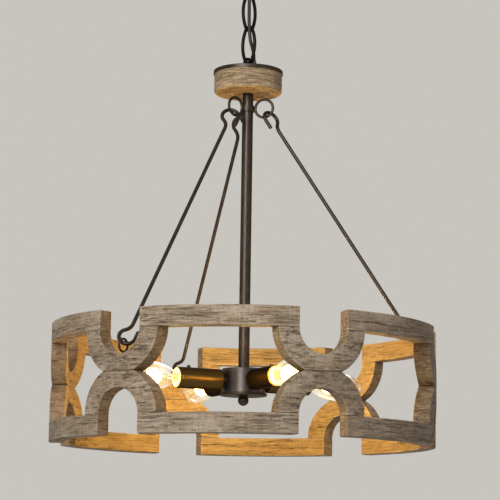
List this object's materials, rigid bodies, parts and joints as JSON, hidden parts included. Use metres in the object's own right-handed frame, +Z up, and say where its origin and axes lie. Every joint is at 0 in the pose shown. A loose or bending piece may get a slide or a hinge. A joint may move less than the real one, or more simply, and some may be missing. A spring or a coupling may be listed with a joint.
{
  "type": "wooden ring chandelier",
  "caption": "Ceiling light: open ring of X-shaped wooden panels on hooked wire rods, a central stem with horizontal candle bulbs, a wooden hub, a short chain and a canopy.",
  "frame": {"origin": "Middle of the slotted crossbar, on the ceiling plane that its top face bears on.", "axes": "+Z up along the stem, -Y to the front (the pictured side, turned 7.3 degrees), +X to the right along the crossbar."},
  "size_m": [0.4572, 0.4572, 0.6028],
  "materials": {
    "drum_wood": "weathered grey-brown stain",
    "hub_wood": "light weathered stain",
    "bronze_metal": "oil-rubbed bronze, satin",
    "zinc_steel": "zinc plated",
    "cord_jacket": "matte black jacket",
    "black_plastic": "moulded",
    "socket_cream": "moulded, cream",
    "bulb_glass": "clear"
  },
  "bodies": {
    "ceiling_mount": {"crossbar": "zinc_steel", "ceiling_nipple": "zinc_steel", "ceiling_lock_nut": "zinc_steel", "canopy_loop": "bronze_metal"},
    "canopy_cover": {"canopy": "bronze_metal", "ring_nut": "bronze_metal"},
    "link_upper": {"chain_link_upper": "bronze_metal"},
    "link_lower": {"chain_link_lower": "bronze_metal"},
    "fixture": {"hub_loop": "bronze_metal", "cap_plate": "bronze_metal", "cap_screws": "bronze_metal", "cord_bushing": "black_plastic", "hub_block": "hub_wood", "wire_connectors": "black_plastic", "stem_nipples": "zinc_steel", "stem_lock_nuts": "zinc_steel", "stem_tube": "bronze_metal", "stem_cord": "cord_jacket", "ring_collar": "bronze_metal", "cluster_body": "bronze_metal", "base_plate": "bronze_metal", "cluster_strap": "zinc_steel", "finial": "bronze_metal", "socket_tubes": "bronze_metal", "sockets": "socket_cream", "socket_screws": "bronze_metal", "socket_leads": "cord_jacket", "supply_cord": "cord_jacket"},
    "drum": {"upper_bow_1": "drum_wood", "lower_bow_1": "drum_wood", "top_rail_1": "drum_wood", "bottom_rail_1": "drum_wood", "upper_bow_2": "drum_wood", "lower_bow_2": "drum_wood", "top_rail_2": "drum_wood", "bottom_rail_2": "drum_wood", "upper_bow_3": "drum_wood", "lower_bow_3": "drum_wood", "top_rail_3": "drum_wood", "bottom_rail_3": "drum_wood", "upper_bow_4": "drum_wood", "lower_bow_4": "drum_wood", "top_rail_4": "drum_wood", "bottom_rail_4": "drum_wood", "upper_bow_5": "drum_wood", "lower_bow_5": "drum_wood", "top_rail_5": "drum_wood", "bottom_rail_5": "drum_wood", "upper_bow_6": "drum_wood", "lower_bow_6": "drum_wood", "top_rail_6": "drum_wood", "bottom_rail_6": "drum_wood", "screw_eyes": "bronze_metal"},
    "rod_front_left_body": {"rod_front_left": "bronze_metal"},
    "rod_right_body": {"rod_right": "bronze_metal"},
    "rod_back_left_body": {"rod_back_left": "bronze_metal"},
    "bulb_1_body": {"bulb_1": "bulb_glass"},
    "bulb_2_body": {"bulb_2": "bulb_glass"},
    "bulb_3_body": {"bulb_3": "bulb_glass"},
    "bulb_4_body": {"bulb_4": "bulb_glass"}
  },
  "joints": [
    {"name": "canopy_drop", "type": "slide", "parent": "ceiling_mount", "child": "canopy_cover", "axis": [0, 0, -1], "range_m": [0, 0.018]},
    {"name": "chain_swing_top", "type": "hinge", "parent": "ceiling_mount", "child": "link_upper", "pos_m": [0, 0, -0.056], "axis": [0.7912, -0.6115, 0], "range_deg": [-20, 20], "deforming": ["supply_cord"]},
    {"name": "chain_swing_middle", "type": "hinge", "parent": "link_upper", "child": "link_lower", "pos_m": [0, 0, -0.09645], "axis": [-0.6115, -0.7912, 0], "range_deg": [-20, 20], "deforming": ["supply_cord"]},
    {"name": "chain_swing_bottom", "type": "hinge", "parent": "link_lower", "child": "fixture", "pos_m": [0, 0, -0.13685], "axis": [0.7912, -0.6115, 0], "range_deg": [-20, 20], "deforming": ["supply_cord"]},
    {"name": "drum_twist", "type": "hinge", "parent": "fixture", "child": "drum", "pos_m": [0, 0, -0.5334], "axis": [0, 0, 1], "range_deg": [-3.5, 3.5], "stiffness_Nm_per_rad": 0.3},
    {"name": "rod_front_left_lean", "type": "hinge", "parent": "fixture", "child": "rod_front_left_body", "pos_m": [-0.01634, -0.02091, -0.20419], "axis": [-0.4067, -0.7366, 0.5403], "range_deg": [-2.2, 2.2]},
    {"name": "rod_right_lean", "type": "hinge", "parent": "fixture", "child": "rod_right_body", "pos_m": [0.02628, -0.00369, -0.20419], "axis": [0.8413, 0.0161, 0.5403], "range_deg": [-2.2, 2.2]},
    {"name": "rod_back_left_lean", "type": "hinge", "parent": "fixture", "child": "rod_back_left_body", "pos_m": [-0.00994, 0.02461, -0.20419], "axis": [-0.4346, 0.7205, 0.5403], "range_deg": [-2.2, 2.2]},
    {"name": "bulb_1_unscrew", "type": "hinge", "parent": "fixture", "child": "bulb_1_body", "pos_m": [0.04921, -0.07296, -0.5264], "axis": [0.5592, -0.829, 0], "range_deg": [0, 1080]},
    {"name": "bulb_2_unscrew", "type": "hinge", "parent": "fixture", "child": "bulb_2_body", "pos_m": [0.07296, 0.04921, -0.5264], "axis": [0.829, 0.5592, 0], "range_deg": [0, 1080]},
    {"name": "bulb_3_unscrew", "type": "hinge", "parent": "fixture", "child": "bulb_3_body", "pos_m": [-0.04921, 0.07296, -0.5264], "axis": [-0.5592, 0.829, 0], "range_deg": [0, 1080]},
    {"name": "bulb_4_unscrew", "type": "hinge", "parent": "fixture", "child": "bulb_4_body", "pos_m": [-0.07296, -0.04921, -0.5264], "axis": [-0.829, -0.5592, 0], "range_deg": [0, 1080]}
  ],
  "couplings": [
    {"joint": "rod_front_left_lean", "follows": "drum_twist", "ratio": 0.6139},
    {"joint": "rod_right_lean", "follows": "drum_twist", "ratio": 0.6139},
    {"joint": "rod_back_left_lean", "follows": "drum_twist", "ratio": 0.6139}
  ]
}
